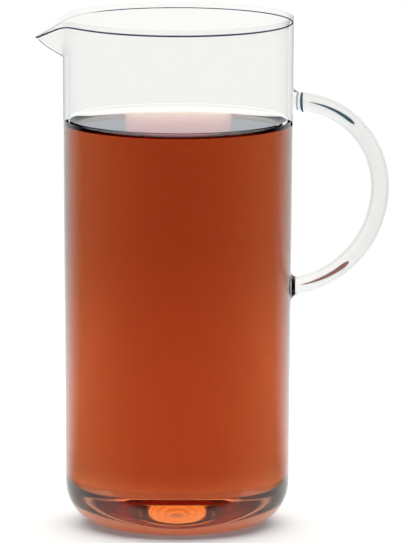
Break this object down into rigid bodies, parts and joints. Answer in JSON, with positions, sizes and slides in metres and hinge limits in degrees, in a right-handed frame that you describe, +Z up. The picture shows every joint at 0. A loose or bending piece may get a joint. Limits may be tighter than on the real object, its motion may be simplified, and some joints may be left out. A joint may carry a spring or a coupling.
{
  "type": "glass jug",
  "caption": "Tall clear glass jug with a drawn pouring lip and a fused rod handle, holding amber tea; pours and serves cold or hot drinks.",
  "frame": {"origin": "centre of the flat base, on the axis of the round body", "axes": "+Z up along the body's axis, -X towards the pouring lip, +X towards the handle, the jug is mirror-symmetric about the XZ plane"},
  "size_m": [0.153, 0.1, 0.2225],
  "materials": {
    "borosilicate_glass": "polished",
    "brewed_tea": "clear amber liquid"
  },
  "bodies": {
    "root": {"jug": "borosilicate_glass", "tea": "brewed_tea"}
  },
  "joints": []
}
